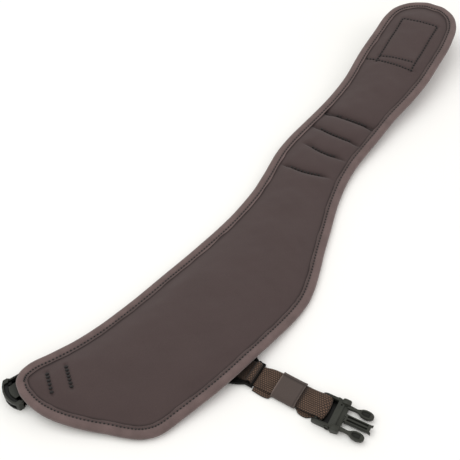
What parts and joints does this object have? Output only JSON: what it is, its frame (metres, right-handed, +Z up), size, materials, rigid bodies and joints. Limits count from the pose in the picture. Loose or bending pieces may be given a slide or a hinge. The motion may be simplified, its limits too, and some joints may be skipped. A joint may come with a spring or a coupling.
{
  "type": "camera neck strap",
  "caption": "Curved padded strap wing with a bound edge and sewn furrows, a side-release buckle half at its pointed end and the mating half on a webbing side strap.",
  "frame": {"origin": "middle of the part's box, on the surface that it lies on", "axes": "+X from the pointed end to the raised end of the wing, +Y away from the side strap, +Z up"},
  "size_m": [0.6576, 0.3, 0.0391],
  "materials": {
    "pad_fabric": "fine smooth knit over foam, dark brown grey",
    "binding_tape": "rolled grosgrain tape, mauve brown",
    "webbing": "woven webbing, warm brown",
    "keeper_fabric": "plain woven sleeve, brown grey",
    "buckle_plastic": "moulded, fine matt grain, dark grey",
    "slider_plastic": "moulded, matt, near black"
  },
  "bodies": {
    "root": {"pad": "pad_fabric", "edge_binding": "binding_tape", "tip_webbing": "webbing", "buckle_female": "buckle_plastic", "strap_slider": "slider_plastic", "side_webbing": "webbing", "keeper": "keeper_fabric", "buckle_male": "buckle_plastic", "side_anchor_webbing": "webbing"}
  },
  "joints": []
}
